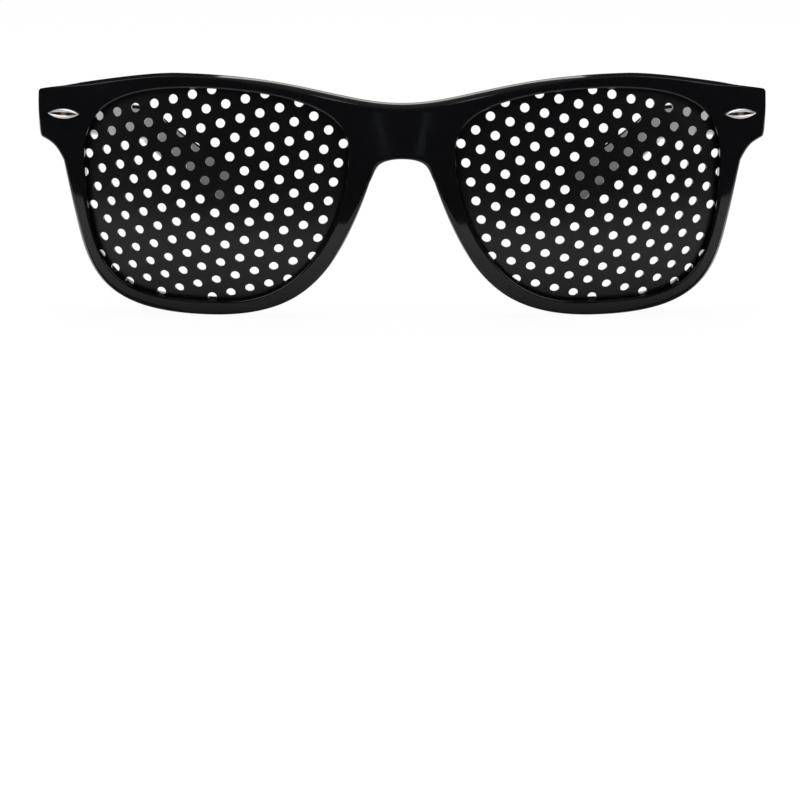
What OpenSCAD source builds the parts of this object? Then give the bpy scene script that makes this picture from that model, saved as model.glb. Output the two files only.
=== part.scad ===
// Pinhole glasses: a moulded front holding two perforated lens sheets, with folding temples.
// Left and right are the wearer's. The front looks towards -Y, the temples point to +Y.

/* [Lens openings] */
// Width of each opening
lens_w = 52.3; // [46:0.1:58]
// Height of each opening
lens_h = 42.7; // [38:0.1:48]
// Distance between the two openings
bridge_w = 20.9; // [18:0.1:26]

/* [Lens sheets] */
// Radius of the outer face of a sheet
lens_r = 88; // [80:0.5:120]
// Thickness of a sheet
lens_t = 0.8; // [0.6:0.05:1.2]
// How far a sheet reaches into its groove
lens_lip = 0.8; // [0.5:0.05:1]
// Room between a sheet and its groove
lens_room = 0.03; // [0.01:0.01:0.1]
// Angle by which each sheet turns outwards
face_form = 5.3; // [3:0.1:8]

/* [Pinholes] */
// Diameter of a pinhole at the front
hole_d = 1.8; // [1.2:0.02:2.2]
// Diameter of a pinhole at the back, with its moulding draft
hole_back_d = 2.04; // [1.3:0.02:2.6]
// Distance from a pinhole to the next
hole_pitch = 4.05; // [3.4:0.01:5]
// Turn of the rows of pinholes
hole_turn = 15; // [0:0.1:30]
// Height of the pattern as a share of a regular one
hole_squash = 0.96; // [0.9:0.01:1.1]
// Shift of the pattern towards the nose
hole_shift = 0.8; // [0:0.05:1.5]
// Drop of the pattern below the middle of the front
hole_sink = 0.15; // [0:0.05:1]

/* [Front] */
// Thickness of the rims, front to back
rim_t = 4.2; // [3.6:0.1:5.5]
// How far the rims stand in front of the sheets
rim_proud = 1.4; // [1:0.1:1.6]
// Height of the rim above an opening
rim_top = 2.25; // [1.6:0.05:4]
// Height of the rim below an opening
rim_bottom = 3.25; // [1.8:0.05:5]
// Width of the rim at the temple side of an opening
rim_side = 3.6; // [2.4:0.1:4]
// Width of the rim beside the nose
rim_nose = 3.3; // [2:0.1:4]
// Height of the bridge at the middle
bridge_h = 10.3; // [7:0.1:12]
// How far the bridge lies below the top of the rims
bridge_dip = 5.9; // [4:0.1:8]
// Half the width over which the front curves into the bridge
bridge_blend = 14; // [11:0.5:18]
// Radius of each nose pad
pad_r = 2.3; // [1.6:0.1:2.8]

/* [End pieces] */
// How far each end piece reaches beyond its opening
end_reach = 9.45; // [8.8:0.05:12]
// Height of an end piece at its outer edge
end_h = 7.9; // [6:0.1:9]
// How far the end pieces lie below the top of the rims
end_dip = 4.7; // [3:0.1:6]
// Thickness of an end piece between its face and the temple joint
end_t = 5.5; // [5:0.1:8]
// Width of an end piece at the joint
end_w = 9.1; // [8.8:0.1:9.6]

/* [Trims] */
// Length of a trim
trim_l = 7.4; // [5:0.1:8]
// Height of a trim
trim_h = 2.3; // [1.6:0.1:3]
// How far a trim stands proud
trim_proud = 0.5; // [0.3:0.05:0.8]
// Distance from a trim's centre to the edge of the front
trim_inset = 5.4; // [4:0.1:7]
// Distance from a trim's centre up to the top of the end piece
trim_drop = 3.7; // [2.5:0.1:5]
// Diameter of a trim's pins
trim_pin_d = 0.9; // [0.6:0.05:1.2]
// Distance between a trim's pins
trim_pin_gap = 3.4; // [2:0.1:4.5]

/* [Temples] */
// Length of a temple along its middle
temple_l = 136; // [125:1:150]
// Height of a temple at the joint
temple_h = 7.9; // [7:0.1:9]
// Height of a temple near its tip
tip_h = 9.6; // [7:0.1:12]
// Thickness of a temple at the joint
temple_t = 3.8; // [3.2:0.1:4.5]
// Thickness of a temple at its tip
tip_t = 3; // [2.4:0.1:4]
// Angle of the temples below the front's normal
temple_slope = 12.2; // [6:0.1:14]
// Length of the straight part behind the joint
bow_start = 24; // [20:1:40]
// Radius of the inward bow
bow_r = 214; // [180:2:500]
// Distance from the joint to the ear bend
ear_start = 86; // [80:1:100]
// Length of the ear bend
ear_l = 9; // [6:1:24]
// Angle of the ear bend
ear_drop = 19.5; // [10:0.5:45]
// Gap between a temple and its end piece
joint_gap = 0.1; // [0.05:0.05:0.3]

/* [Hinges] */
// Diameter of the hinge barrels
barrel_d = 2.7; // [2.4:0.1:3]
// Height of the three barrels together
barrel_h = 6.4; // [5:0.1:7]
// Gap between two barrels
barrel_gap = 0.06; // [0.04:0.01:0.2]
// Diameter of the hinge screw's shank
screw_d = 1.4; // [1.2:0.05:1.5]
// Room around the shank
screw_room = 0.05; // [0.02:0.01:0.1]
// Height of the screw's head
screw_head_h = 0.7; // [0.5:0.1:1]
// Thickness of the hinge leaves
leaf_t = 0.8; // [0.6:0.1:1]
// Height of the hinge leaves
leaf_h = 5.6; // [4:0.1:6]
// Length of the leaf on a temple
leaf_l = 10.5; // [8:0.5:14]
// Diameter of the rivets in the leaves
rivet_d = 1; // [0.8:0.05:1]
// Depth of the rivets in the plastic
rivet_l = 2.3; // [1.5:0.1:2.5]
// Height of the rivet heads
rivet_head_h = 0.3; // [0.2:0.05:0.4]

/* [Hidden] */
$fn = 64;

black = [0.06, 0.06, 0.07];
sheet_black = [0.1, 0.1, 0.12];
polished = [0.8, 0.8, 0.82];
steel = [0.62, 0.62, 0.64];
over = 0.2;

// Places in the front's own frame: x across, y back from the foremost point, z up from mid lens
lens_x = bridge_w / 2 + lens_w / 2;
lens_z = -0.8;
front_r = lens_r + rim_proud;
back_r = front_r - rim_t;
arch_x = lens_x - lens_r * sin(face_form);
rim_top_z = lens_z + lens_h / 2 + rim_top;
rim_bottom_z = lens_z - lens_h / 2 - rim_bottom;
end_top_z = rim_top_z - end_dip;
end_bottom_z = end_top_z - end_h;
bridge_top_z = rim_top_z - bridge_dip;
bridge_arch_z = bridge_top_z - bridge_h;
front_x = bridge_w / 2 + lens_w + end_reach;

// A cubic curve from a to b with the handles ha and hb, without its last point
function curve(a, ha, hb, b, n) = [for (i = [0:n - 1]) let (t = i / n, s = 1 - t)
    s * s * s * a + 3 * s * s * t * (a + ha) + 3 * s * t * t * (b + hb) + t * t * t * b];

// Each point of a closed outline moved outwards by d, for an outline that runs counter-clockwise
function outset(p, d) = [for (i = [0:len(p) - 1]) let (
    a = p[(i + len(p) - 1) % len(p)], b = p[(i + 1) % len(p)], v = b - a)
    p[i] + d * [v[1], -v[0]] / norm(v)];

// The opening on the +X side, as four curves between its nose, bottom, outer and top points
open_nose = [bridge_w / 2, lens_z + 0.43 * lens_h / 2];
open_bottom = [lens_x - 0.03 * lens_w, lens_z - lens_h / 2];
open_outer = [lens_x + lens_w / 2, lens_z + 0.33 * lens_h / 2];
open_top = [lens_x + 0.06 * lens_w, lens_z + lens_h / 2];
opening = concat(
    curve(open_nose, [0, -0.5 * lens_h / 2], [-0.68 * lens_w / 2, 0], open_bottom, 22),
    curve(open_bottom, [0.78 * lens_w / 2, 0], [0, -1.29 * lens_h / 2], open_outer, 24),
    curve(open_outer, [0, 0.4 * lens_h / 2], [0.68 * lens_w / 2, 0], open_top, 14),
    curve(open_top, [-0.26 * lens_w / 2, 0], [0, 0.525 * lens_h / 2], open_nose, 16));

// Half of the front's outline, from the top of the nose arch round to the middle of the bridge
nose_top = [bridge_w / 2 - rim_nose - 0.8, bridge_arch_z - 4.55];
low_point = [lens_x + 2, rim_bottom_z];
side_point = [lens_x + lens_w / 2 + rim_side + 0.8, end_bottom_z - 4.95];
end_low = [front_x - 0.65, end_bottom_z - 0.8];
end_high = [front_x, end_top_z];
high_point = [lens_x + 7, rim_top_z];
half_outline = concat(
    curve([0, bridge_arch_z], [5.1, 0], [-1.3, 2.4], nose_top, 8),
    curve(nose_top, [6.9, -20.4], [-18, 0], low_point, 22),
    curve(low_point, [27.3, 0], [-4.2, -19.5], side_point, 26),
    curve(side_point, [1.5, 2.8], [-2.3, -0.95], end_low, 8),
    curve(end_low, [0.4, 0.17], [-0.1, -0.6], [front_x - 0.1, end_bottom_z + 0.7], 4),
    curve([front_x - 0.1, end_bottom_z + 0.7], [0.1, 2], [0.1, -2], end_high - [0, 1.2], 3),
    curve(end_high - [0, 1.2], [0, 0.7], [0.7, -0.15], end_high - [1.2, -0.2], 5),
    curve(end_high - [1.2, -0.2], [-18.8, 4.45], [2, 0], high_point, 18),
    curve(high_point, [-24, 0], [12.2, 0], [0, bridge_top_z], 26));
outline = concat([[0, bridge_arch_z]], [for (i = [1:len(half_outline) - 1]) half_outline[i]],
    [[0, bridge_top_z]], [for (i = [len(half_outline) - 1:-1:1])
    [-half_outline[i][0], half_outline[i][1]]]);

// Depth of the front's face at a place [x, z] outside the bridge
function face_y(p) = front_r - sqrt(front_r * front_r - pow(p[0] - arch_x, 2) - p[1] * p[1]);

// The hinge's place: its axis runs through this point, square to the temple
axis_back = barrel_d / 2 + 0.15;
leaf_proud = 0.3;
axis_in = barrel_d / 2 + 0.1 + leaf_proud;
hinge_x = front_x - temple_t - axis_in - 0.1;
hinge_z = (end_top_z + end_bottom_z) / 2;
hinge_y = face_y([hinge_x, hinge_z]) + end_t + axis_back;
front_leaf_w = 3.7;
front_leaf_over = 0.6;

// The frame of a hinge: z along its axis, y back along the temple
module at_hinge() {
    translate([hinge_x, hinge_y, hinge_z])
        rotate([-temple_slope, 0, 0])
            children();
}

// A flat outline in x and z, drawn out along y through the whole depth of the front
module drawn(points) {
    translate([0, front_r / 2, 0])
        rotate([90, 0, 0])
            linear_extrude(front_r / 2 + over)
                polygon(points);
}

// Half profile of the curved front: two arcs of radius r that a hollow arc joins at the bridge
module dome_profile(r) {
    slope = asin((arch_x - bridge_blend) / r);
    hollow_r = bridge_blend / sin(slope);
    hollow_x = (r + hollow_r) * cos(slope);
    meet_x = r * cos(slope);
    reach = front_x + 4;
    for (s = [-1, 1])
        intersection() {
            translate([0, s * arch_x])
                circle(r, $fn = 360);
            translate([0, s > 0 ? bridge_blend : -reach])
                square([r + 1, reach - bridge_blend]);
        }
    difference() {
        translate([0, -bridge_blend])
            square([meet_x, 2 * bridge_blend]);
        translate([hollow_x, 0])
            circle(hollow_r, $fn = 360);
    }
}

// The space between two such domes, revolved about the line through the arcs' centres
module dome_shell(outer_r, inner_r) {
    translate([0, front_r, 0])
        rotate([0, 90, 0])
            rotate_extrude($fn = 360)
                difference() {
                    dome_profile(outer_r);
                    dome_profile(inner_r);
                }
}

// A lens sheet before its pinholes, grown by room on every face
module lens_blank(room = 0) {
    intersection() {
        translate([arch_x, front_r, 0])
            difference() {
                sphere(lens_r + room, $fn = 200);
                sphere(lens_r - lens_t - room, $fn = 200);
            }
        drawn(outset(opening, lens_lip + room));
    }
}

// True where a pinhole centre lies inside the opening or just outside it
hole_limit = outset(opening, 0.3);
function seen(p) = len([for (i = [0:len(hole_limit) - 1]) let (
    a = hole_limit[i], b = hole_limit[(i + 1) % len(hole_limit)])
    if ((a[1] > p[1]) != (b[1] > p[1]) &&
        p[0] < (b[0] - a[0]) * (p[1] - a[1]) / (b[1] - a[1]) + a[0]) 1]) % 2 == 1;

// Directions of the pinholes as [across, up] angles seen from the sheet's centre of curvature
hole_reach = ceil(0.75 * lens_w / hole_pitch);
pinholes = [for (i = [-hole_reach:hole_reach], j = [-hole_reach:hole_reach]) let (
    d = hole_pitch * [i - j / 2, j * sin(60)],
    x = d[0] * cos(hole_turn) + d[1] * sin(hole_turn),
    z = hole_squash * (d[1] * cos(hole_turn) - d[0] * sin(hole_turn)),
    across = face_form + (x - hole_shift) / lens_r * 180 / PI,
    up = (z - hole_sink) / lens_r * 180 / PI,
    place = [arch_x + lens_r * cos(up) * sin(across), lens_r * sin(up)])
    if (seen(place)) [across, up]];

module pinhole_lens(side) {
    drill = lens_t + 2 * over;
    draft = (hole_back_d - hole_d) / 2 / lens_t;
    color(sheet_black)
        on_side(side)
            difference() {
                lens_blank();
                translate([arch_x, front_r, 0])
                    for (p = pinholes)
                        rotate([0, 0, p[0]])
                            rotate([90 - p[1], 0, 0])
                                translate([0, 0, lens_r - lens_t - over])
                                    cylinder(drill, hole_back_d / 2 + draft * over,
                                        hole_d / 2 - draft * over, $fn = 24);
            }
}

// The block behind each end piece that carries the hinge and meets the temple
module end_block() {
    inner_x = front_x - end_w - hinge_x;
    outer_x = front_x + 2 - hinge_x;
    ahead = 2 * end_t;
    intersection() {
        dome_shell(front_r, 0.7 * front_r);
        at_hinge()
            linear_extrude(2 * end_h + 4, center = true)
                polygon([[inner_x, -axis_back], [inner_x - 1, -axis_back - 1],
                    [inner_x - 0.25 * ahead, -axis_back - ahead], [outer_x, -axis_back - ahead],
                    [outer_x, -axis_back]]);
        at_hinge()
            rotate([90, 0, 90])
                linear_extrude(3 * end_w, center = true)
                    polygon([[-axis_back - ahead, temple_h / 2], [-axis_back - ahead, -end_h],
                        [-axis_back - 5, -temple_h / 2 - 2.4], [-axis_back - 1, -temple_h / 2 - 0.6],
                        [-axis_back + 1, -temple_h / 2 + 0.1], [-axis_back + 1, temple_h / 2]]);
    }
}

// Everything behind the plane where a temple meets its end piece
module joint_cut() {
    at_hinge()
        translate([front_x - end_w - 1 - hinge_x, -axis_back, -end_h - 2])
            cube([end_w + 4, 2 * end_t, 2 * end_h + 4]);
}

// A nose pad: a rounded ridge behind the rim, along the side of the nose gap
module nose_pad() {
    high = [bridge_w / 2 - rim_nose + 1.6, 5, bridge_arch_z - 3.5];
    low = [bridge_w / 2 + 4, 4.6, bridge_arch_z - 17];
    run = low - high;
    translate(high)
        rotate([0, acos(run[2] / norm(run)), atan2(run[1], run[0])]) {
            cylinder(norm(run), r = pad_r);
            sphere(pad_r);
            translate([0, 0, norm(run)])
                sphere(pad_r);
        }
}

// Where a trim sits: on the curved face of the end piece, z along the face's normal
trim_x = front_x - trim_inset;
trim_z = end_top_z - trim_drop;
trim_y = face_y([trim_x, trim_z]);
trim_yaw = asin((trim_x - arch_x) / sqrt(front_r * front_r - trim_z * trim_z));
trim_pitch = asin(trim_z / front_r);
trim_sunk = 0.5;

module at_trim() {
    translate([trim_x, trim_y, trim_z])
        rotate([0, 0, trim_yaw])
            rotate([90 - trim_pitch, 0, 0])
                children();
}

// A pointed oval of the given length and height
module pointed_oval(l, h) {
    r = (l * l + h * h) / (4 * h);
    intersection() {
        translate([0, r - h / 2])
            circle(r, $fn = 200);
        translate([0, h / 2 - r])
            circle(r, $fn = 200);
    }
}

module trim(side) {
    slot_depth = trim_proud * 0.6;
    slot_l = trim_l * 0.86;
    slot_h = trim_h * 0.32;
    color(polished)
        on_side(side)
            at_trim() {
                difference() {
                    translate([0, 0, -trim_sunk])
                        linear_extrude(trim_sunk + trim_proud)
                            pointed_oval(trim_l, trim_h);
                    translate([0, 0, trim_proud - slot_depth / 2])
                        linear_extrude(slot_depth)
                            pointed_oval(slot_l, slot_h);
                    translate([0, 0, trim_proud - slot_depth])
                        linear_extrude(slot_depth)
                            difference() {
                                pointed_oval(slot_l, slot_h);
                                square([trim_l * 0.18, trim_h], center = true);
                            }
                }
                for (s = [-1, 1])
                    translate([s * trim_pin_gap / 2, 0, -trim_sunk - 2])
                        cylinder(2 + over, d = trim_pin_d);
            }
}

// The space that a trim and its pins take up in the front
module trim_seat() {
    seat_room = 0.02;
    at_trim() {
        translate([0, 0, -trim_sunk])
            linear_extrude(3)
                pointed_oval(trim_l + 4 * seat_room, trim_h + 2 * seat_room);
        for (s = [-1, 1])
            translate([s * trim_pin_gap / 2, 0, -trim_sunk - 2])
                cylinder(2 + over, d = trim_pin_d + 2 * seat_room);
    }
}

// Where the rivets of each leaf sit, in the hinge's frame
front_rivet_x = -barrel_d / 2 - 0.1 - rivet_d * 0.75;
front_rivets = [[front_rivet_x, leaf_h / 4], [front_rivet_x, -leaf_h / 4]];
temple_rivets = [[leaf_l * 0.38, 0], [leaf_l * 0.76, 0]];

module front_leaf_plate(room = 0) {
    translate([front_leaf_over - front_leaf_w - room, -axis_back - leaf_t - room, -barrel_h / 2 - room])
        cube([front_leaf_w + 2 * room, leaf_t + room + (room > 0 ? over : 0), barrel_h + 2 * room]);
}

module temple_leaf_plate(room = 0) {
    translate([axis_in - leaf_proud, -axis_back + 0.6 - room, -leaf_h / 2 - room])
        cube([leaf_t + room, leaf_l + 2 * room, leaf_h + 2 * room]);
}

module front_frame() {
    color(black)
        stand()
            difference() {
                union() {
                    intersection() {
                        drawn(outline);
                        union() {
                            dome_shell(front_r, back_r);
                            for (m = [0, 1])
                                mirror([m, 0, 0])
                                    end_block();
                        }
                    }
                    for (m = [0, 1])
                        mirror([m, 0, 0])
                            nose_pad();
                }
                for (m = [0, 1])
                    mirror([m, 0, 0]) {
                        drawn(opening);
                        joint_cut();
                        lens_blank(lens_room);
                        trim_seat();
                        at_hinge() {
                            front_leaf_plate(0.02);
                            for (p = front_rivets)
                                translate([p[0], -axis_back - leaf_t + over, p[1]])
                                    rotate([90, 0, 0])
                                        cylinder(rivet_l + over, d = rivet_d + 0.04);
                        }
                    }
            }
}

barrel_each = (barrel_h - 2 * barrel_gap) / 3;

module front_hinge_leaf(side) {
    color(steel)
        on_side(side)
            at_hinge()
                difference() {
                    union() {
                        front_leaf_plate();
                        for (s = [-1, 1])
                            translate([0, 0, s * (barrel_each + barrel_gap) - barrel_each / 2]) {
                                cylinder(barrel_each, d = barrel_d);
                                translate([-barrel_d / 2, -axis_back - leaf_t / 2, 0])
                                    cube([barrel_d / 2 + 0.5, axis_back + leaf_t / 2, barrel_each]);
                            }
                    }
                    translate([0, 0, -barrel_h])
                        cylinder(2 * barrel_h, d = screw_d + 2 * screw_room);
                    for (p = front_rivets)
                        translate([p[0], -axis_back + over, p[1]])
                            rotate([90, 0, 0])
                                cylinder(leaf_t + 2 * over, d = rivet_d + 0.04);
                }
}

module temple_hinge_leaf(side) {
    color(steel)
        on_side(side)
            at_hinge()
                difference() {
                    union() {
                        temple_leaf_plate();
                        translate([0, 0, -barrel_each / 2]) {
                            cylinder(barrel_each, d = barrel_d);
                            translate([0, -0.9, 0])
                                cube([axis_in, 1.8, barrel_each]);
                        }
                    }
                    translate([0, 0, -barrel_h])
                        cylinder(2 * barrel_h, d = screw_d + 2 * screw_room);
                    for (p = temple_rivets)
                        translate([axis_in - leaf_proud - over, p[0], p[1]])
                            rotate([0, 90, 0])
                                cylinder(leaf_t + 2 * over, d = rivet_d + 0.04);
                }
}

module front_leaf_rivets(side) {
    color(steel)
        on_side(side)
            at_hinge()
                for (p = front_rivets)
                    translate([p[0], -axis_back, p[1]])
                        rotate([90, 0, 0]) {
                            cylinder(leaf_t + rivet_l, d = rivet_d);
                            translate([0, 0, -rivet_head_h])
                                cylinder(rivet_head_h, rivet_d * 0.5, rivet_d * 0.75);
                        }
}

module temple_leaf_rivets(side) {
    color(steel)
        on_side(side)
            at_hinge()
                for (p = temple_rivets)
                    translate([axis_in - leaf_proud, p[0], p[1]])
                        rotate([0, 90, 0]) {
                            cylinder(leaf_t + rivet_l, d = rivet_d);
                            translate([0, 0, -rivet_head_h])
                                cylinder(rivet_head_h, rivet_d * 0.5, rivet_d * 0.75);
                        }
}

module hinge_screw(side) {
    slot_w = 0.35;
    color(steel)
        on_side(side)
            at_hinge()
                difference() {
                    union() {
                        translate([0, 0, -barrel_h / 2])
                            cylinder(barrel_h + over, d = screw_d);
                        translate([0, 0, barrel_h / 2])
                            cylinder(screw_head_h, d = barrel_d - 0.2);
                    }
                    translate([-barrel_d, -slot_w / 2, barrel_h / 2 + screw_head_h / 2])
                        cube([2 * barrel_d, slot_w, screw_head_h]);
                }
}

// Middle line of a temple: its direction turns inwards along the bow and down at the ear
tip_round = 5.5;
bar_steps = 38;
tip_steps = 8;
stations = concat([for (i = [0:bar_steps - 1]) i * (temple_l - tip_round) / bar_steps],
    [for (i = [0:tip_steps]) temple_l - tip_round * (1 - sin(i * 90 / tip_steps))]);
steps = len(stations) - 1;
function bow(s) = max(0, s - bow_start) / bow_r * 180 / PI;
function drop(s) = ear_drop * smooth((s - ear_start) / ear_l);
function smooth(t) = let (q = min(1, max(0, t))) q * q * (3 - 2 * q);
function heading(s) = [-sin(bow(s)) * cos(drop(s)), cos(bow(s)) * cos(drop(s)), -sin(drop(s))];
function walk(i, p = [0, 0, 0]) = i == 0 ? p
    : walk(i - 1, p + (stations[i] - stations[i - 1]) * heading((stations[i] + stations[i - 1]) / 2));

// Height and thickness along a temple, drawn in round at the tip
function tip_close(s) = let (q = max(0, (s - temple_l + tip_round) / tip_round))
    sqrt(max(0.0144, 1 - q * q));
function height(s) = (temple_h + (tip_h - temple_h) * smooth((s - ear_start) / (temple_l - ear_start)))
    * tip_close(s);
function thickness(s) = (temple_t + (tip_t - temple_t) * s / temple_l) * sqrt(tip_close(s));

// A rounded cross-section, as shares of half the thickness and half the height
edge = 1.1;
corner = 4;
function section(t, h) = let (r = min(edge, 0.45 * t, 0.45 * h))
    [for (q = [0:3], k = [0:corner]) let (
        sx = (q == 0 || q == 3) ? 1 : -1, sz = q < 2 ? 1 : -1, a = 90 * (q + k / corner))
        [sx * (t / 2 - r) + r * cos(a), sz * (h / 2 - r) + r * sin(a)]];

function ring(i) = let (
    s = stations[i], d = heading(s), c = bar_start + walk(i),
    side = [cos(bow(s)), sin(bow(s)), 0],
    up = [side[1] * d[2] - side[2] * d[1], side[2] * d[0] - side[0] * d[2],
        side[0] * d[1] - side[1] * d[0]])
    [for (p = section(thickness(s), height(s))) c + p[0] * side + p[1] * up];

bar_start = [axis_in + temple_t / 2, -axis_back + joint_gap, 0];
rings = [for (i = [0:steps]) ring(i)];

module temple_bar() {
    count = 4 * (corner + 1);
    points = [for (r = rings) each r];
    walls = [for (i = [0:steps - 1], k = [0:count - 1]) let (
        a = i * count + k, b = i * count + (k + 1) % count)
        each [[a, b, b + count], [a, b + count, a + count]]];
    first = [for (k = [count - 1:-1:0]) k];
    last = [for (k = [0:count - 1]) steps * count + k];
    polyhedron(points, concat(walls, [first, last]), convexity = 4);
}

// The glasses stand on the lowest points of the rims and of the temple tips, about mid depth
foot = [arch_x + 8, rim_bottom_z];
foot_y = face_y(foot);
function turned(p, a) = [p[0], p[1] * cos(a) - p[2] * sin(a), p[1] * sin(a) + p[2] * cos(a)];
bar_points = [for (r = rings, p = r) [hinge_x, hinge_y, hinge_z] + turned(p, -temple_slope)];
rest_tilt = max([for (p = bar_points) if (p[1] > 2 * hinge_y) -atan2(p[2] - foot[1], p[1] - foot_y)]);
rest_z = -turned([0, foot_y, foot[1]], rest_tilt)[2];
front_edge = min([for (p = opening) turned([0, face_y(p), p[1]], rest_tilt)[1]]);
back_edge = max([for (p = bar_points) turned(p, rest_tilt)[1]]);

module stand() {
    translate([0, -(front_edge + back_edge) / 2, rest_z])
        rotate([rest_tilt, 0, 0])
            children();
}

// Puts a piece that is drawn for the +X side on its own side
module on_side(side) {
    stand()
        mirror([side < 0 ? 1 : 0, 0, 0])
            children();
}

module temple(side) {
    color(black)
        on_side(side)
            at_hinge()
                difference() {
                    temple_bar();
                    temple_leaf_plate(0.02);
                    for (p = temple_rivets)
                        translate([axis_in, p[0], p[1]])
                            rotate([0, 90, 0])
                                cylinder(leaf_t - leaf_proud + rivet_l, d = rivet_d + 0.04);
                }
}

front_frame();
pinhole_lens(1);  // left_pinhole_lens
pinhole_lens(-1);  // right_pinhole_lens
trim(1);  // left_trim
trim(-1);  // right_trim
front_hinge_leaf(1);  // left_front_hinge_leaf
front_hinge_leaf(-1);  // right_front_hinge_leaf
front_leaf_rivets(1);  // left_front_leaf_rivets
front_leaf_rivets(-1);  // right_front_leaf_rivets
temple(1);  // left_temple
temple(-1);  // right_temple
temple_hinge_leaf(1);  // left_temple_hinge_leaf
temple_hinge_leaf(-1);  // right_temple_hinge_leaf
temple_leaf_rivets(1);  // left_temple_leaf_rivets
temple_leaf_rivets(-1);  // right_temple_leaf_rivets
hinge_screw(1);  // left_hinge_screw
hinge_screw(-1);  // right_hinge_screw
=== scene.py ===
"""Pinhole glasses: a glossy black front, satin perforated sheets, polished trims, folding temples."""

import math

import bmesh
import bpy
from mathutils import Matrix, Vector


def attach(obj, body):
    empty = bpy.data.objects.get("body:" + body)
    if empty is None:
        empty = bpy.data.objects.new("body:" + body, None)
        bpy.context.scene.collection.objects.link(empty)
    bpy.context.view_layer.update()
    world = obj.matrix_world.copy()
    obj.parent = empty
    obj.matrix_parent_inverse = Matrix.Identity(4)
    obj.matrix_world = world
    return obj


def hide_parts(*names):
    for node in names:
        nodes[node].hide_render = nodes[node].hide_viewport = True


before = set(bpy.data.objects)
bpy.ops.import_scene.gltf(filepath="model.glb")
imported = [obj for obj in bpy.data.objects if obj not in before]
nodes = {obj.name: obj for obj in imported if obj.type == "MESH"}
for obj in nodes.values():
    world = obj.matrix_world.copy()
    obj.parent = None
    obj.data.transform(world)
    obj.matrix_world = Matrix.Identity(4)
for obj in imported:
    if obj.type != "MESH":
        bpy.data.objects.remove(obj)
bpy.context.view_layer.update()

# All sizes below are in millimetres, in the front's own frame: x across, y back from the
# foremost point, z up from mid lens
MM = 0.001
LENS_W, LENS_H, BRIDGE_W = 52.3, 42.7, 20.9
LENS_X, LENS_Z = BRIDGE_W / 2 + LENS_W / 2, -0.8
SHEET_R, FACE_FORM = 88.0, math.radians(5.3)
FRONT_R, RIM_T = 89.4, 4.2
BACK_R = FRONT_R - RIM_T
ARCH_X = LENS_X - SHEET_R * math.sin(FACE_FORM)
BLEND = 14.0
FRONT_X = 72.2
RIM_TOP_Z = LENS_Z + LENS_H / 2 + 2.25
RIM_BOTTOM_Z = LENS_Z - LENS_H / 2 - 3.25
END_TOP_Z = RIM_TOP_Z - 4.7
END_BOTTOM_Z = END_TOP_Z - 7.9
BRIDGE_TOP_Z = RIM_TOP_Z - 5.9
ARCH_Z = BRIDGE_TOP_Z - 10.3

# The hinge: its axis is square to the temple, which slopes down from the front's normal
SLOPE = math.radians(12.2)
LEAF_T, BARREL_H = 0.8, 6.4
AXIS_BACK, AXIS_IN = 1.5, 1.75
TEMPLE_T, TEMPLE_H, TIP_T, TIP_H, TEMPLE_L = 3.8, 7.9, 3.0, 9.6, 136.0
HINGE_X, HINGE_Z = FRONT_X - TEMPLE_T - AXIS_IN - 0.1, (END_TOP_Z + END_BOTTOM_Z) / 2
END_T, END_W = 5.5, 9.1

# The leaf's seat in the end piece, from the hinge's axis
SEAT_SIZE = (3.74, 1.04, BARREL_H + 0.04)
SEAT_PLACE = Vector((-1.25, -AXIS_BACK - LEAF_T + 0.5, 0))

# The temple: straight, then bowed inwards on a radius, bent down for the ear, round at its tip
BOW_START, BOW_R = 24, 214
BEND_START, BEND_L, BEND_DROP = 86, 9, math.radians(19.5)
TIP_ROUND, CORNER_R, CORNER_SHARE, CROWN, CHAMFER = 5.5, 1.15, 0.46, 0.06, 0.3
JOINT_GAP = 0.1

# Nose pads: a rounded ridge down each side of the nose gap
PAD_TOP, PAD_FOOT = Vector((8.75, ARCH_Z - 3.5)), Vector((14.45, ARCH_Z - 17))
PAD_RISE, PAD_REACH = 2.4, 4.4

# The front's edges: roundings at its back, and the flat border that the faces are filled from
OUTLINE_BACK_R, OPENING_BACK_R, APRON = 0.5, 0.35, 0.14
# The end pieces stand a little higher at their face than at their back
END_LIFT = 0.65

# How finely the faces are cut: everywhere, over the nose pads and beside the end blocks
COARSE_CUT, PAD_CUT, BLOCK_CUT = 1.6, 0.5, 0.16

# How the open glasses stand on the floor
TILT, REST_Y, REST_Z = math.radians(1.95042), -70.5304, 25.2472


def dome_radius(x, r):
    """Radius of the curved front about its middle line, at x."""
    slope = math.asin((ARCH_X - BLEND) / r)
    hollow_r = BLEND / math.sin(slope)
    x = abs(x)
    if x < BLEND:
        return (r + hollow_r) * math.cos(slope) - math.sqrt(hollow_r**2 - x * x)
    return math.sqrt(r * r - (x - ARCH_X) ** 2)


def dome_y(x, z, r):
    """Depth of a face of the curved front at x, z."""
    return FRONT_R - math.sqrt(dome_radius(x, r) ** 2 - z * z)


HINGE_Y = dome_y(HINGE_X, HINGE_Z, FRONT_R) + END_T + AXIS_BACK
STAND = Matrix.Translation((0, REST_Y * MM, REST_Z * MM)) @ Matrix.Rotation(TILT, 4, "X")
AT_HINGE = Matrix.Translation((HINGE_X * MM, HINGE_Y * MM, HINGE_Z * MM)) @ Matrix.Rotation(-SLOPE, 4, "X")


def smooth(t):
    """A soft step from 0 to 1 as t goes from 0 to 1."""
    t = min(1.0, max(0.0, t))
    return t * t * (3 - 2 * t)


def ramp(value, zero, one):
    """A soft step that is 0 where the value is at the first place and 1 where it is at the second."""
    return smooth((value - zero) / (one - zero))


def curve(a, handle_a, handle_b, b, steps):
    """Points of a cubic curve from a to b, without b."""
    a, b = Vector(a), Vector(b)
    c, d = a + Vector(handle_a), b + Vector(handle_b)
    points = []
    for i in range(steps):
        t = i / steps
        s = 1 - t
        points.append(s**3 * a + 3 * s * s * t * c + 3 * s * t * t * d + t**3 * b)
    return points


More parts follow.
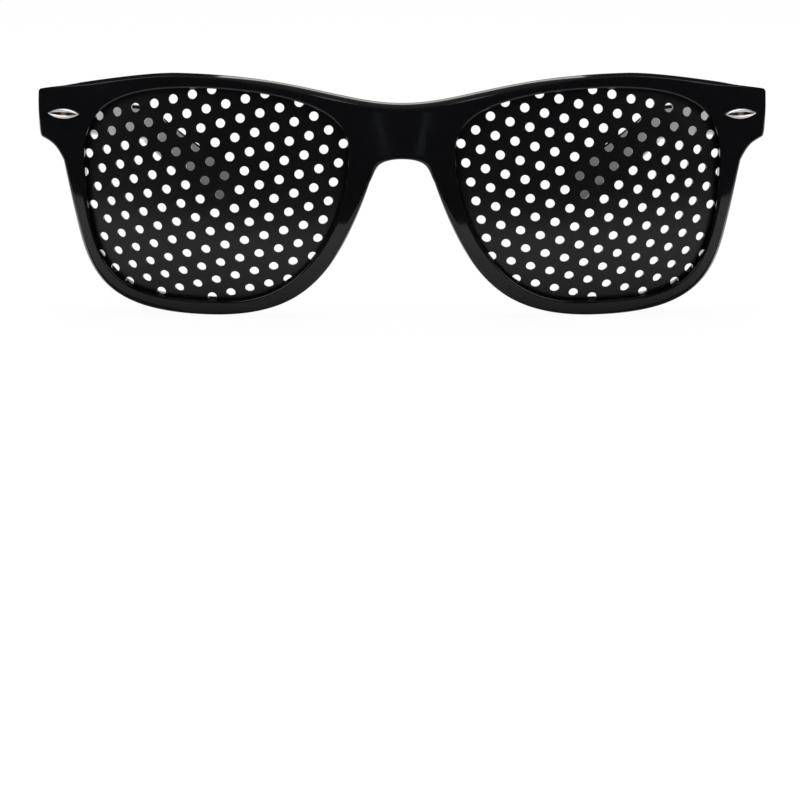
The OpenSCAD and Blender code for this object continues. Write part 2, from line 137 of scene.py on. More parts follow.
def outset(points, distances):
    """A closed loop that runs counter-clockwise, each point moved outwards by its distance."""
    moved = []
    for i, p in enumerate(points):
        tangent = (points[(i + 1) % len(points)] - points[i - 1]).normalized()
        moved.append(p + distances[i] * Vector((tangent.y, -tangent.x)))
    return moved


# The curves of the openings and of the outline, each from one named point to the next: its
# start, the handles at both ends, its end and its number of steps
FINE = 3
nose = Vector((BRIDGE_W / 2, LENS_Z + 0.43 * LENS_H / 2))
bottom = Vector((LENS_X - 0.03 * LENS_W, LENS_Z - LENS_H / 2))
outer = Vector((LENS_X + LENS_W / 2, LENS_Z + 0.33 * LENS_H / 2))
top = Vector((LENS_X + 0.06 * LENS_W, LENS_Z + LENS_H / 2))
opening = (
    curve(nose, (0, -0.5 * LENS_H / 2), (-0.68 * LENS_W / 2, 0), bottom, 22 * FINE)
    + curve(bottom, (0.78 * LENS_W / 2, 0), (0, -1.29 * LENS_H / 2), outer, 24 * FINE)
    + curve(outer, (0, 0.4 * LENS_H / 2), (0.68 * LENS_W / 2, 0), top, 14 * FINE)
    + curve(top, (-0.26 * LENS_W / 2, 0), (0, 0.525 * LENS_H / 2), nose, 16 * FINE)
)
arch = Vector((0, ARCH_Z))
nose_top = Vector((BRIDGE_W / 2 - 4.1, ARCH_Z - 4.55))
low = Vector((LENS_X + 2, RIM_BOTTOM_Z))
side = Vector((LENS_X + LENS_W / 2 + 4.4, END_BOTTOM_Z - 4.95))
end_low = Vector((FRONT_X - 0.65, END_BOTTOM_Z - 0.8))
end_face = Vector((FRONT_X - 0.1, END_BOTTOM_Z + 0.7))
end_high = Vector((FRONT_X, END_TOP_Z - 0.65))
end_top = Vector((FRONT_X - 0.65, END_TOP_Z + 0.13))
high = Vector((LENS_X + 7, RIM_TOP_Z))
bridge_top = Vector((0, BRIDGE_TOP_Z))
half = (
    curve(arch, (5.1, 0), (-1.3, 2.4), nose_top, 8 * FINE)
    + curve(nose_top, (6.9, -20.4), (-18, 0), low, 22 * FINE)
    + curve(low, (27.3, 0), (-4.2, -19.5), side, 26 * FINE)
    + curve(side, (1.5, 2.8), (-2.3, -0.95), end_low, 8 * FINE)
    + curve(end_low, (0.4, 0.17), (-0.1, -0.6), end_face, 4 * FINE)
    + curve(end_face, (0.1, 2), (0.1, -2), end_high, 3 * FINE)
    + curve(end_high, (0, 0.38), (0.36, -0.09), end_top, 5 * FINE)
    + curve(end_top, (-18.8, 4.45), (2, 0), high, 18 * FINE)
    + curve(high, (-24, 0), (12.2, 0), bridge_top, 26 * FINE)
)
outline = half + [bridge_top] + [Vector((-p.x, p.y)) for p in reversed(half[1:])]


def only(obj):
    """Deselects everything, then selects obj and makes it the active object."""
    bpy.ops.object.select_all(action="DESELECT")
    obj.select_set(True)
    bpy.context.view_layer.objects.active = obj


def rolled_grid(name, rings):
    """A grid primitive whose rows are laid along closed rings of points, with its seam merged."""
    bpy.ops.object.select_all(action="DESELECT")
    bpy.ops.mesh.primitive_grid_add(x_subdivisions=len(rings[0]), y_subdivisions=len(rings) - 1, size=1)
    obj = bpy.context.object
    obj.name = obj.data.name = name
    places = [c * MM for ring in rings for p in [*ring, ring[0]] for c in p]
    obj.data.vertices.foreach_set("co", places)
    bpy.ops.object.mode_set(mode="EDIT")
    bpy.ops.mesh.select_all(action="SELECT")
    bpy.ops.mesh.remove_doubles(threshold=1e-7)
    bpy.ops.object.mode_set(mode="OBJECT")
    return obj


def joined(name, objects):
    """Joins objects into one, under a new name."""
    only(objects[0])
    for o in objects[1:]:
        o.select_set(True)
    bpy.ops.object.join()
    obj = bpy.context.object
    obj.name = obj.data.name = name
    return obj


def pick(obj, kind, test):
    """In edit mode, selects only the edges or faces that pass the test."""
    bpy.ops.mesh.select_mode(type={"edges": "EDGE", "faces": "FACE"}[kind])
    bpy.ops.mesh.select_all(action="DESELECT")
    mesh = bmesh.from_edit_mesh(obj.data)
    for part in getattr(mesh, kind):
        if test(part):
            part.select_set(True)
    mesh.select_flush_mode()
    bmesh.update_edit_mesh(obj.data)


def placed(obj, matrix, mirrored=False):
    """Moves a piece's mesh to its place in the open glasses, mirrored for the right side."""
    if mirrored:
        matrix = Matrix.Scale(-1, 4, (1, 0, 0)) @ matrix
    obj.data.transform(matrix)
    obj.data.transform(STAND)
    only(obj)
    bpy.ops.object.mode_set(mode="EDIT")
    bpy.ops.mesh.select_all(action="SELECT")
    bpy.ops.mesh.normals_make_consistent(inside=False)
    bpy.ops.object.mode_set(mode="OBJECT")


def carve(obj, cutter):
    """Cuts one piece out of another and removes the cutter."""
    only(obj)
    cut = obj.modifiers.new("boolean", "BOOLEAN")
    cut.operation, cut.solver, cut.object = "DIFFERENCE", "EXACT", cutter
    bpy.ops.object.modifier_apply(modifier=cut.name)
    bpy.data.objects.remove(cutter)


def shaded(obj, sharp_degrees):
    """Shades a piece smooth up to the given angle between its faces."""
    only(obj)
    bpy.ops.object.shade_smooth_by_angle(angle=math.radians(sharp_degrees))
    return obj


# Front: the rounding of its edges, and what places along the outline add to it or take from it
EDGE_R, BRIDGE_MORE, END_LESS, BELOW_MORE, ARCH_MORE = 0.45, 0.85, 0.32, 0.8, 0.75
ARCH_CORNER, ARCH_SPREAD = Vector((5.4, ARCH_Z - 1.1)), 3.4


def edge_round(p):
    """Rounding of the outline's front edge: wide over the bridge, below the lenses and at the
    arch's corners, crisp at the end pieces' tops."""
    x = abs(p.x)
    upper = BRIDGE_MORE * ramp(x, 36, 24) - END_LESS * ramp(x, 38, 44)
    r = EDGE_R + upper * ramp(p.y, 11, 15)
    r += BELOW_MORE * ramp(p.y, 3, -9) * ramp(x, 70, 64)
    corner = Vector((x, p.y)) - ARCH_CORNER
    return r + ARCH_MORE * math.exp(-corner.length_squared / ARCH_SPREAD)


# The front edge of an opening, as (inset, depth) from the face to the wall: round below, a
# narrow bevel above
LIP_R = 0.66
quarter_turn = [math.pi / 10 * k for k in range(6)]
lip_round = [(LIP_R * (1 - math.sin(a)), LIP_R * (1 - math.cos(a))) for a in quarter_turn]
lip_bevel = [(0.44, 0.0), (0.4, 0.005), (0.36, 0.025), (0.09, 0.182), (0.06, 0.2), (0.0, 0.32)]


def opening_edge(points):
    """The front edge's rings along an opening, as lists of insets and of depths."""
    upper = [ramp(p.y, 0, 10) for p in points]
    rings = []
    for below, above in zip(lip_round, lip_bevel):
        rings.append([[b + (a - b) * u for u in upper] for b, a in zip(below, above)])
    return rings


def outline_edge(points):
    """The front edge's rings along the outline, as lists of insets and of depths."""
    rounds = [edge_round(p) for p in points]
    rings = []
    for a in quarter_turn:
        rings.append([[r * (1 - math.sin(a)) for r in rounds], [r * (1 - math.cos(a)) for r in rounds]])
    return rings


def wall_rings(points, side_sign, edge, back_round):
    """Rings from the front face round an edge, down the wall and round to the back face."""
    count = len(points)
    rings = []

    def ring(insets, depths):
        moved = outset(points, [side_sign * d for d in insets])
        rings.append([(p.x, d, p.y) for p, d in zip(moved, depths)])

    ring([inset + APRON for inset in edge[0][0]], [0.0] * count)
    for insets, depths in edge:
        ring(insets, depths)
    for a in quarter_turn:
        inset, depth = back_round * (1 - math.cos(a)), RIM_T - back_round * (1 - math.sin(a))
        ring([inset] * count, [depth] * count)
    ring([back_round + APRON] * count, [RIM_T] * count)
    return rings


def pad_rise(x, z):
    """How far the back of the front rises over a nose pad."""
    p, run = Vector((abs(x), z)), PAD_FOOT - PAD_TOP
    t = min(1.0, max(0.0, (p - PAD_TOP).dot(run) / run.length_squared))
    gap = (p - PAD_TOP - t * run).length
    return PAD_RISE * smooth(1 - gap / PAD_REACH)


def from_hinge(back, up):
    """Height and depth of a place given along the temple and square to it, from the hinge's axis."""
    z = HINGE_Z - back * math.sin(SLOPE) + up * math.cos(SLOPE)
    return z, HINGE_Y + back * math.cos(SLOPE) + up * math.sin(SLOPE)


# The end piece behind the shell: its inner side as (x, depth ahead of the joint), its underside
# as (height, depth)
INNER_X = FRONT_X - END_W
AHEAD = 2 * END_T
BLOCK_TOP = HINGE_Z + TEMPLE_H / 2 * math.cos(SLOPE) + AXIS_BACK * math.sin(SLOPE)
block_side = [(INNER_X - 0.25 * AHEAD, AHEAD), (INNER_X - 1, 1), (INNER_X, 0)]
block_under = [
    from_hinge(-AXIS_BACK - AHEAD, -TEMPLE_H),
    from_hinge(-AXIS_BACK - 5, -TEMPLE_H / 2 - 2.4),
    from_hinge(-AXIS_BACK - 1, -TEMPLE_H / 2 - 0.6),
    from_hinge(-AXIS_BACK + 1, -TEMPLE_H / 2 + 0.1),
]


def along(line, t):
    """Reads a polyline of (place, value) pairs at t."""
    if t <= line[0][0]:
        return line[0][1]
    for (t0, v0), (t1, v1) in zip(line, line[1:]):
        if t <= t1:
            return v0 + (v1 - v0) * (t - t0) / (t1 - t0)
    return line[-1][1]


def back_y(x, z):
    """Depth of the back face of the front: the shell, the nose pads and the end blocks."""
    shell = dome_y(x, z, BACK_R) + pad_rise(x, z)
    if abs(x) <= block_side[0][0]:
        return shell
    joint = HINGE_Y + (-AXIS_BACK + (z - HINGE_Z) * math.sin(SLOPE)) / math.cos(SLOPE)
    inner = joint - along(block_side, abs(x))
    under = along(block_under, z) if z < block_under[-1][0] else joint
    over = joint - (z - BLOCK_TOP) / math.tan(SLOPE)
    return max(shell, min(inner, under, over))


def cuts(axis, places):
    """Cutting planes square to an axis, as (place, normal)."""
    normal = Vector((1, 0, 0)) if axis == "x" else Vector((0, 0, 1))
    return [(place * MM * normal, normal) for place in places]


def cut_faces(obj, planes, inside):
    """In edit mode, cuts the filled faces whose middle passes the test."""
    for place, normal in planes:
        pick(obj, "faces", lambda f: f.material_index == 1 and inside(f.calc_center_median() / MM))
        bpy.ops.mesh.bisect(plane_co=place, plane_no=normal)


def near_pad(c):
    """Whether a place is on the back, round a nose pad."""
    return c.y > 1 and 3.5 < abs(c.x) < 19.5 and -16 < c.z < 8


def near_block(c):
    """Whether a place is on the back, where the shell rises to an end block."""
    return c.y > 1 and 59.5 < abs(c.x) < INNER_X and c.z > END_BOTTOM_Z - 4


def fill_faces(obj):
    """In edit mode, fills the front and the back face and marks their triangles by material index."""
    for depth in (0.0, RIM_T * MM):
        pick(obj, "edges", lambda e: e.is_boundary and all(abs(v.co.y - depth) < 1e-6 for v in e.verts))
        bpy.ops.mesh.fill(use_beauty=True)
    pick(obj, "faces", lambda f: len(f.verts) == 3)
    for f in bmesh.from_edit_mesh(obj.data).faces:
        f.material_index = 1 if f.select else 0


def refine_faces(obj):
    """In edit mode, cuts the marked triangles fine enough to bend, finer where the back rises."""
    coarse = cuts("x", [x * COARSE_CUT for x in range(-45, 46)])
    coarse += cuts("z", [z * COARSE_CUT for z in range(-16, 16)])
    coarse += cuts("x", [s * x for s in (-1, 1) for x, ahead in block_side])
    coarse += cuts("z", [z for z, depth in block_under] + [BLOCK_TOP, BLOCK_TOP + 0.6])
    cut_faces(obj, coarse, lambda c: True)
    pads = cuts("x", [s * x * PAD_CUT for s in (-1, 1) for x in range(8, 39)])
    pads += cuts("z", [z * PAD_CUT for z in range(-31, 16)])
    cut_faces(obj, pads, near_pad)
    blocks = cuts("x", [s * (INNER_X - 2.6 + BLOCK_CUT * i) for s in (-1, 1) for i in range(10)])
    cut_faces(obj, blocks, near_block)
    for f in bmesh.from_edit_mesh(obj.data).faces:
        f.material_index = 0


def lay_on_curves(obj):
    """Moves the flat slab's points onto the curves of the front's face and back."""
    for v in obj.data.vertices:
        x, depth, z = v.co / MM
        back = back_y(x, z)
        z += END_LIFT * (1 - depth / RIM_T) * ramp(abs(x), 61, 71) * ramp(z, END_TOP_Z - 3, END_TOP_Z)
        face = dome_y(x, z, FRONT_R)
        v.co.y, v.co.z = (face + depth / RIM_T * (back - face)) * MM, z * MM


def make_front():
    """The moulded front: three rolled walls with faces between them, bent to its curves."""
    walls = [rolled_grid("outline", wall_rings(outline, -1, outline_edge(outline), OUTLINE_BACK_R))]
    mirrored_opening = [Vector((-p.x, p.y)) for p in reversed(opening)]
    for points in (opening, mirrored_opening):
        walls.append(rolled_grid("opening", wall_rings(points, 1, opening_edge(points), OPENING_BACK_R)))
    obj = joined("front", walls)
    bpy.ops.object.mode_set(mode="EDIT")
    fill_faces(obj)
    refine_faces(obj)
    bpy.ops.object.mode_set(mode="OBJECT")
    lay_on_curves(obj)
    placed(obj, Matrix.Identity(4))
    for sign in (-1, 1):
        bpy.ops.mesh.primitive_cube_add(size=1)
        seat = bpy.context.object
        size = Matrix.Diagonal([c * MM for c in SEAT_SIZE] + [1])
        seat.data.transform(Matrix.Translation(SEAT_PLACE * MM) @ size)
        placed(seat, AT_HINGE, sign < 0)
        carve(obj, seat)
    return shaded(obj, 32)


# Temples

def heading(s):
    """The way a temple runs at a length along it, and the angle of its bow there."""
    bow = max(0.0, s - BOW_START) / BOW_R
    drop = BEND_DROP * smooth((s - BEND_START) / BEND_L)
    return Vector((-math.sin(bow) * math.cos(drop), math.cos(bow) * math.cos(drop), -math.sin(drop))), bow


def tip_share(s):
    """The share of its full height that a temple has at a length along it: 1 up to the rounded tip,
    and never quite 0, so that the last ring keeps its points."""
    q = max(0.0, (s - TEMPLE_L + TIP_ROUND) / TIP_ROUND)
    return math.sqrt(max(0.0004, 1 - q * q))


def temple_section(t, h, r):
    """A rounded section with slightly crowned sides, as (across, up) pairs."""
    arc_steps, side_steps = 6, 5
    arcs = []
    for q, (sx, sz) in enumerate(((1, 1), (-1, 1), (-1, -1), (1, -1))):
        turns = [math.pi / 2 * (q + k / arc_steps) for k in range(arc_steps + 1)]
        x, z = sx * (t / 2 - r), sz * (h / 2 - r)
        arcs.append([(x + r * math.cos(a), z + r * math.sin(a)) for a in turns])
    points = []
    for q, arc in enumerate(arcs):
        (x0, z0), (x1, z1) = arc[-1], arcs[(q + 1) % 4][0]
        points += arc
        for k in range(1, side_steps):
            crown = CROWN * math.sin(math.pi * k / side_steps)
            x, z = x0 + (x1 - x0) * k / side_steps, z0 + (z1 - z0) * k / side_steps
            points.append((x + crown * (0, -1, 0, 1)[q], z + crown * (1, 0, -1, 0)[q]))
    return points


def make_temple(name, mirrored):
    """A temple bar: a rolled grid laid along its middle line, closed at both ends."""
    start, steps, tip_steps = 0.35, 96, 14
    stations = [0.0, 0.12, start]
    stations += [start + (TEMPLE_L - TIP_ROUND - start) * i / steps for i in range(1, steps + 1)]
    turns = [math.pi / 2 * i / tip_steps for i in range(1, tip_steps + 1)]
    stations += [TEMPLE_L - TIP_ROUND * (1 - math.sin(a)) for a in turns]
    middle = Vector((AXIS_IN + TEMPLE_T / 2, -AXIS_BACK + JOINT_GAP, 0))
    rings, last = [], 0.0
    for s in stations:
        middle = middle + (s - last) * heading((s + last) / 2)[0]
        last = s
        ahead, bow = heading(s)
        across = Vector((math.cos(bow), math.sin(bow), 0))
        up = across.cross(ahead)
        share = tip_share(s)
        h = (TEMPLE_H + (TIP_H - TEMPLE_H) * ramp(s, BEND_START, TEMPLE_L)) * share
        t = (TEMPLE_T + (TIP_T - TEMPLE_T) * s / TEMPLE_L) * math.sqrt(share)
        less = 2 * max(0.0, CHAMFER - s)
        r = min(CORNER_R, CORNER_SHARE * t, CORNER_SHARE * h)
        rings.append([middle + x * across + z * up for x, z in temple_section(t - less, h - less, r)])
    obj = rolled_grid(name, rings)
    bpy.ops.object.mode_set(mode="EDIT")
    for end in (0, -1):
        near = Vector(rings[end][0]) * MM
        pick(obj, "edges", lambda e: e.is_boundary and (e.verts[0].co - near).length < TIP_H * MM)
        bpy.ops.mesh.edge_face_add()
    bpy.ops.object.mode_set(mode="OBJECT")
    placed(obj, AT_HINGE, mirrored)
    return shaded(obj, 32)


# Trims
TRIM_L, TRIM_H, TRIM_ROLL = 7.4, 2.0, math.radians(-2.2)
TRIM_X, TRIM_Z = FRONT_X - 5.4, END_TOP_Z - 3.7
TRIM_Y = dome_y(TRIM_X, TRIM_Z, FRONT_R)
AT_TRIM = (
    Matrix.Translation((TRIM_X * MM, TRIM_Y * MM, TRIM_Z * MM))
    @ Matrix.Rotation(math.asin((TRIM_X - ARCH_X) / math.sqrt(FRONT_R**2 - TRIM_Z**2)), 4, "Z")
    @ Matrix.Rotation(math.pi / 2 - math.asin(TRIM_Z / FRONT_R), 4, "X")
    @ Matrix.Rotation(TRIM_ROLL, 4, "Z")
)

# Rings from the trim's foot over its border into the slot: share of the length, share of the
# height, level
SLOT_FLOOR = 0.12
trim_levels = [
    (1.0, 1.0, -0.5), (1.0, 1.0, 0.2), (0.99, 0.96, 0.29), (0.975, 0.9, 0.34), (0.96, 0.8, 0.385),
    (0.945, 0.7, 0.42), (0.93, 0.63, 0.43), (0.91, 0.54, 0.405), (0.89, 0.44, 0.36), (0.87, 0.34, 0.31),
    (0.86, 0.29, 0.24), (0.85, 0.27, SLOT_FLOOR), (0.78, 0.18, SLOT_FLOOR), (0.6, 0.08, SLOT_FLOOR),
]

# The slot's reach from the trim's middle, its levels for points and for faces, and the small
# ridge across it
SLOT_X, SLOT_Y, SLOT_FOOT, SLOT_TOP, SLOT_FACE_TOP = 3.2, 0.34, 0.05, 0.28, 0.3
RIDGE_H, RIDGE_X = 0.16, 0.62


def in_slot(p, top):
    """Whether a place on the trim, in millimetres, is in the slot below the given level."""
    return SLOT_FOOT < p.z < top and abs(p.x) < SLOT_X and abs(p.y) < SLOT_Y


def pointed_oval(length, height):
    """A loop of two arcs that meet in a point at either end, as (across, up) pairs."""
    steps = 28
    r = (length**2 + height**2) / (4 * height)
    points = []
    for half_turn in (1, -1):
        for i in range(steps):
            x = half_turn * length / 2 * math.cos(math.pi * i / steps)
            points.append((x, half_turn * (math.sqrt(max(0.0, r * r - x * x)) - r + height / 2)))
    return points


def make_trim(name, mirrored):
    """A polished trim: rings of a pointed oval from its foot over the border into the slot."""
    rings = [[(x, y, z) for x, y in pointed_oval(TRIM_L * a, TRIM_H * b)] for a, b, z in trim_levels]
    obj = rolled_grid(name, rings)
    bpy.ops.object.mode_set(mode="EDIT")
    pick(obj, "edges", lambda e: e.is_boundary and e.verts[0].co.z > 0)
    bpy.ops.mesh.edge_face_add()
    bpy.ops.mesh.poke()
    pick(obj, "edges", lambda e: e.is_boundary)
    bpy.ops.mesh.edge_face_add()
    bpy.ops.object.mode_set(mode="OBJECT")
    for v in obj.data.vertices:
        p = v.co / MM
        if in_slot(p, SLOT_TOP):
            v.co.z = max(p.z, SLOT_FLOOR + RIDGE_H * smooth(2.2 - abs(p.x) / 0.4)) * MM
    kinds = []
    for f in obj.data.polygons:
        p = f.center / MM
        kinds.append((2 if abs(p.x) < RIDGE_X else 1) if in_slot(p, SLOT_FACE_TOP) else 0)
    placed(obj, AT_TRIM, mirrored)
    for f, kind in zip(obj.data.polygons, kinds):
        f.material_index = kind
    return shaded(obj, 40)


# Materials

def node(tree, kind, **values):
    """Adds a shader node. A name with a small initial is one of its settings, others are inputs."""
    n = tree.nodes.new("ShaderNode" + kind)
    for key, value in values.items():
        if key[0].islower():
            setattr(n, key, value)
        else:
            n.inputs[key.replace("_", " ")].default_value = value
    return n


def wire(tree, *links):
    """Links nodes, each link as (node, output, node, input)."""
    for start, output, end, entry in links:
        tree.links.new(start.outputs[output], end.inputs[entry])


def emptied(owner):
    """The node tree of a material or a world, with nothing in it."""
    owner.use_nodes = True
    owner.node_tree.nodes.clear()
    return owner.node_tree


def surface_group():
    """Fine unevenness of a surface: a roughness that wanders between two values, and a height."""
    g = bpy.data.node_groups.new("surface_unevenness", "ShaderNodeTree")
    defaults = {"Cloud Scale": 120.0, "Grain Scale": 2500.0, "Low": 0.1, "High": 0.2, "Scuffs": 0.1}
    for name, value in defaults.items():
        socket = g.interface.new_socket(name=name, in_out="INPUT", socket_type="NodeSocketFloat")
        socket.default_value = value
    g.interface.new_socket(name="Roughness", in_out="OUTPUT", socket_type="NodeSocketFloat")
    g.interface.new_socket(name="Height", in_out="OUTPUT", socket_type="NodeSocketFloat")
    given, out = g.nodes.new("NodeGroupInput"), g.nodes.new("NodeGroupOutput")
    place = node(g, "TexCoord")
    cloud = node(g, "TexNoise", Detail=3)
    grain = node(g, "TexNoise", Detail=2)
    scuff_place = node(g, "Mapping", Rotation=(0.3, 0.5, 0.4), Scale=(60, 2600, 2600))
    scuff = node(g, "TexNoise", Scale=1.0, Detail=1)
    thin = node(g, "MapRange", From_Min=0.68, From_Max=0.76)
    spread = node(g, "MapRange", From_Min=0.3, From_Max=0.7)
    marks = node(g, "Math", operation="MULTIPLY_ADD")
    wire(
        g,
        (place, "Object", cloud, "Vector"),
        (given, "Cloud Scale", cloud, "Scale"),
        (place, "Object", grain, "Vector"),
        (given, "Grain Scale", grain, "Scale"),
        (place, "Object", scuff_place, "Vector"),
        (scuff_place, "Vector", scuff, "Vector"),
        (scuff, "Fac", thin, "Value"),
        (cloud, "Fac", spread, "Value"),
        (given, "Low", spread, "To Min"),
        (given, "High", spread, "To Max"),
        (thin, "Result", marks, 0),
        (given, "Scuffs", marks, 1),
        (spread, "Result", marks, 2),
        (marks, "Value", out, "Roughness"),
        (grain, "Fac", out, "Height"),
    )
    return g


unevenness = surface_group()


def surface(name, base, roughness, rough, grain, bump, metallic=0.0, ior=1.5, scuffs=0.0, cloud=120.0):
    """A material: one Principled BSDF with its plain values, a roughness that wanders between two
    values, and a bump of the given height in metres."""
    m = bpy.data.materials.new(name)
    m.use_nodes = True
    tree = m.node_tree
    shader = tree.nodes["Principled BSDF"]
    shader.inputs["Base Color"].default_value = (*base, 1)
    shader.inputs["Roughness"].default_value = roughness
    shader.inputs["Metallic"].default_value = metallic
    shader.inputs["IOR"].default_value = ior
    group = tree.nodes.new("ShaderNodeGroup")
    group.node_tree = unevenness
    low, high = rough
    given = {"Low": low, "High": high, "Grain Scale": grain, "Scuffs": scuffs, "Cloud Scale": cloud}
    for key, value in given.items():
        group.inputs[key].default_value = value
    relief = node(tree, "Bump", Strength=1.0, Distance=bump)
    wire(
        tree,
        (group, "Roughness", shader, "Roughness"),
        (group, "Height", relief, "Height"),
        (relief, "Normal", shader, "Normal"),
    )
    return m


PLASTIC_IOR = 1.49
gloss_black = surface(
    "gloss_black_moulding", (0.0042, 0.0042, 0.0055), 0.1,
    rough=(0.06, 0.13), grain=900.0, bump=0.000002, ior=PLASTIC_IOR, scuffs=0.08,
)
satin_sheet = surface(
    "satin_black_sheet", (0.0045, 0.0045, 0.006), 0.38,
    rough=(0.3, 0.4), grain=5200.0, bump=0.000006, ior=PLASTIC_IOR, scuffs=0.05,
)
polished_metal = surface(
    "polished_trim_metal", (0.97, 0.96, 0.94), 0.3,
    rough=(0.27, 0.33), grain=3000.0, bump=0.000001, metallic=1.0, cloud=900.0,
)
# The slot's near black is a painted reflection: it stands for the dark that the trim's hollow polished
# middle reflects
slot_painted_reflection = surface(
    "trim_slot_painted_reflection", (0.012, 0.009, 0.008), 0.5,
    rough=(0.4, 0.6), grain=4000.0, bump=0.000003,
)
ridge_metal = surface(
    "warm_trim_ridge", (0.55, 0.4, 0.3), 0.35,
    rough=(0.3, 0.45), grain=4000.0, bump=0.000002, metallic=1.0,
)
hinge_metal = surface(
    "plated_hinge_metal", (0.62, 0.61, 0.6), 0.28,
    rough=(0.2, 0.36), grain=4200.0, bump=0.000004, metallic=1.0, scuffs=0.15, cloud=600.0,
)
screw_metal = surface(
    "plated_screw_metal", (0.68, 0.67, 0.66), 0.22,
    rough=(0.16, 0.28), grain=3600.0, bump=0.000002, metallic=1.0, scuffs=0.1, cloud=900.0,
)


def finish_with(obj, *materials):
    """Gives a piece its materials, and keeps which face has which."""
    kinds = [min(f.material_index, len(materials) - 1) for f in obj.data.polygons]
    obj.data.materials.clear()
    for m in materials:
        obj.data.materials.append(m)
    obj.data.polygons.foreach_set("material_index", kinds)


# The pieces
front = make_front()
finish_with(front, gloss_black)
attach(front, "front")
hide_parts("front_frame")
for side_name, mirrored in (("left", False), ("right", True)):
    bar = make_temple(side_name + "_temple_bar", mirrored)
    finish_with(bar, gloss_black)
    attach(bar, side_name + "_temple")
    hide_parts(side_name + "_temple")
    oval = make_trim(side_name + "_trim_oval", mirrored)
    finish_with(oval, polished_metal, slot_painted_reflection, ridge_metal)
    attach(oval, "front")
    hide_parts(side_name + "_trim")
    finish_with(nodes[side_name + "_pinhole_lens"], satin_sheet)
    for part in ("front_hinge_leaf", "front_leaf_rivets", "temple_hinge_leaf", "temple_leaf_rivets"):
        finish_with(nodes[side_name + "_" + part], hinge_metal)
    finish_with(nodes[side_name + "_hinge_screw"], screw_metal)


# The room, in metres. The floor glows for the camera and keeps a faint share of the shadows
FLOOR_SIZE, FLOOR_SHADE, FLOOR_GLOW, GLOW_SHARE = 12, 0.6, 1.03, 0.93

# How bright reflections find the world, as soft steps (axis, from, to, value before, value after):
# the first, how far behind, times the second, how far up, plus the third, a little light ahead
WORLD_MAPS = (
    ("Y", -0.5, 0.05, 0.0, 1.0),
    ("Z", 0.3, 0.7, 0.012, 0.17),
    ("Y", -0.2, 0.3, 0.045, 0.0),
)


def make_floor():
    """The floor: white where the camera meets it, directly or through a clear thing, else pale."""
    bpy.ops.object.select_all(action="DESELECT")
    bpy.ops.mesh.primitive_plane_add(size=FLOOR_SIZE, location=(0, 0, 0))
    floor = bpy.context.object
    floor.name = "floor"
    pale = bpy.data.materials.new("pale_floor")
    tree = emptied(pale)
    out = node(tree, "OutputMaterial")
    diffuse = node(tree, "BsdfDiffuse", Color=(FLOOR_SHADE, FLOOR_SHADE, FLOOR_SHADE, 1))
    glow = node(tree, "Emission", Color=(1, 1, 1, 1), Strength=FLOOR_GLOW)
    path = node(tree, "LightPath")
    mix = node(tree, "MixShader")
    either = node(tree, "Math", operation="MAXIMUM")
    share = node(tree, "Math", operation="MULTIPLY")
    share.inputs[1].default_value = GLOW_SHARE
    wire(
        tree,
        (path, "Is Camera Ray", either, 0),
        (path, "Is Transmission Ray", either, 1),
        (either, "Value", share, 0),
        (share, "Value", mix, "Fac"),
        (diffuse, "BSDF", mix, 1),
        (glow, "Emission", mix, 2),
        (mix, "Shader", out, "Surface"),
    )
    floor.data.materials.append(pale)


def make_room():
    """The room: a camera sees it white, reflections find it dark ahead and pale above and behind."""
    world = bpy.data.worlds.new("room")
    bpy.context.scene.world = world
    tree = emptied(world)
    out = node(tree, "OutputWorld")
    path = node(tree, "LightPath")
    seen = node(tree, "Background", Color=(1, 1, 1, 1))
    lit = node(tree, "Background", Color=(0.93, 0.96, 1, 1))
    place = node(tree, "TexCoord")
    apart = node(tree, "SeparateXYZ")
    strength = node(tree, "Math", operation="MULTIPLY_ADD")
    mix = node(tree, "MixShader")
    wire(
        tree,
        (place, "Generated", apart, "Vector"),
        (strength, "Value", lit, "Strength"),
        (path, "Is Camera Ray", mix, "Fac"),
        (lit, "Background", mix, 1),
        (seen, "Background", mix, 2),
        (mix, "Shader", out, "Surface"),
    )
    for slot, (axis, start, end, first, last) in enumerate(WORLD_MAPS):
        part = node(
            tree, "MapRange", interpolation_type="SMOOTHSTEP",
            From_Min=start, From_Max=end, To_Min=first, To_Max=last,
        )
        wire(tree, (apart, axis, part, "Value"), (part, "Result", strength, slot))


def softbox(name, place, target, size, watts):
    """A soft lamp that lights surfaces and doesn't show in the gloss."""
    bpy.ops.object.light_add(type="AREA", location=place)
    lamp = bpy.context.object
    lamp.name = name
    lamp.data.shape = "RECTANGLE"
    lamp.data.size, lamp.data.size_y = size
    lamp.data.energy = watts
    lamp.rotation_euler = (Vector(target) - Vector(place)).to_track_quat("-Z", "Y").to_euler()
    lamp.visible_glossy = False


def card(name, place, turn, size, shade, glow):
    """A lit studio card that only reflections see."""
    bpy.ops.object.select_all(action="DESELECT")
    bpy.ops.mesh.primitive_plane_add(size=1, location=place, rotation=turn)
    obj = bpy.context.object
    obj.name = name
    obj.scale = (*size, 1)
    m = bpy.data.materials.new(name)
    tree = emptied(m)
    out = node(tree, "OutputMaterial")
    light = node(tree, "Emission", Color=(*shade, 1), Strength=glow)
    wire(tree, (light, "Emission", out, "Surface"))
    obj.data.materials.append(m)
    obj.visible_camera = obj.visible_diffuse = obj.visible_shadow = obj.visible_transmission = False


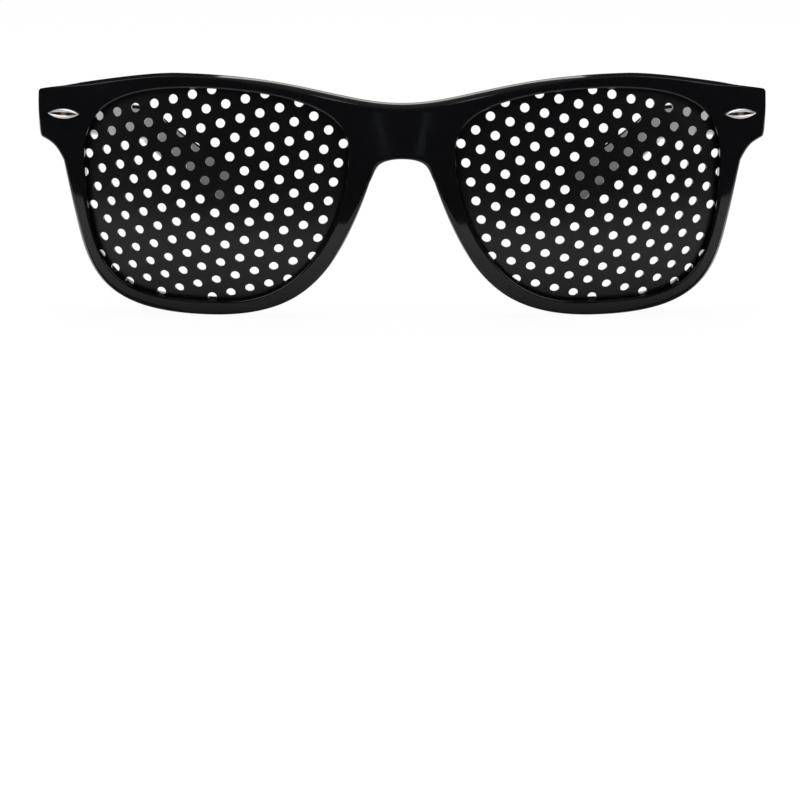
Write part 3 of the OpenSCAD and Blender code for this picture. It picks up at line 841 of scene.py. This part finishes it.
make_floor()
make_room()
softbox("overhead_softbox", (0, 0.1, 0.9), (0, 0, 0), (1.0, 0.8), 9)
softbox("left_softbox", (-0.9, -0.35, 0.5), (0, -0.05, 0.02), (0.5, 0.7), 3)
softbox("right_softbox", (0.9, -0.35, 0.5), (0, -0.05, 0.02), (0.5, 0.7), 3)

# Cards just above the floor: nearly black far ahead, dim under the lower rims as a painted contact
# shadow, bright from right behind them on. Between the first and the rims the floor itself shows
FLAT, WHITE, CARD_W, CARD_D, CARD_Z = (0, 0, 0), (1, 1, 1), 12.0, 6.0, 0.0004
DARK_END_Y, BRIGHT_START_Y, CONTACT_SHADOW_Y, CONTACT_SHADOW_D = -0.1135, -0.0575, -0.0613, 0.0074
card("black_floor_card", (0, DARK_END_Y - CARD_D / 2, CARD_Z), FLAT, (CARD_W, CARD_D), WHITE, 0.045)
card("rear_floor_card", (0, BRIGHT_START_Y + CARD_D / 2, CARD_Z), FLAT, (CARD_W, CARD_D), WHITE, 1.6)
# The dim card is a painted contact shadow that only reflections see, darkening them just in front of the
# lower rims
card("painted_contact_shadow_card", (0, CONTACT_SHADOW_Y, 0.0003), FLAT, (0.3, CONTACT_SHADOW_D), WHITE, 0.08)

# Cards that stand: one behind for the bridge, and on each side ahead one for the trim and a
# narrow bluish one for the bridge's side
UPRIGHT = math.pi / 2
card("bridge_panel", (0, 1.0, 0.27), (UPRIGHT, 0, 0), (0.18, 0.2), (1, 0.95, 0.9), 1.1)
for side_name, sign in (("left", 1), ("right", -1)):
    aim = Vector((sign * -0.6, 0.38, -0.7)).to_track_quat("Z", "Y").to_euler()
    card(side_name + "_trim_card", (sign * 0.43, -0.29, 0.47), aim, (0.25, 0.6), WHITE, 2.2)
    turn, place = (UPRIGHT, math.radians(sign * 8.3), 0), (sign * 0.0395, -0.56, 0.064)
    card(side_name + "_bridge_strip", place, turn, (0.011, 0.118), (0.8, 0.9, 1), 0.3)

# The camera stands half a metre off and looks down by 14.6 degrees, through a long lens
CAMERA_PLACE, LOOK_DOWN, FOCAL_MM = (-0.00042, -0.56286, 0.1125), math.radians(14.632), 114.75
bpy.ops.object.camera_add(location=CAMERA_PLACE, rotation=(UPRIGHT - LOOK_DOWN, 0, 0))
camera = bpy.context.object
camera.data.sensor_width = 36
camera.data.lens = FOCAL_MM
camera.data.clip_start = 0.01
bpy.context.scene.camera = camera
bpy.context.scene.view_settings.view_transform = "Standard"
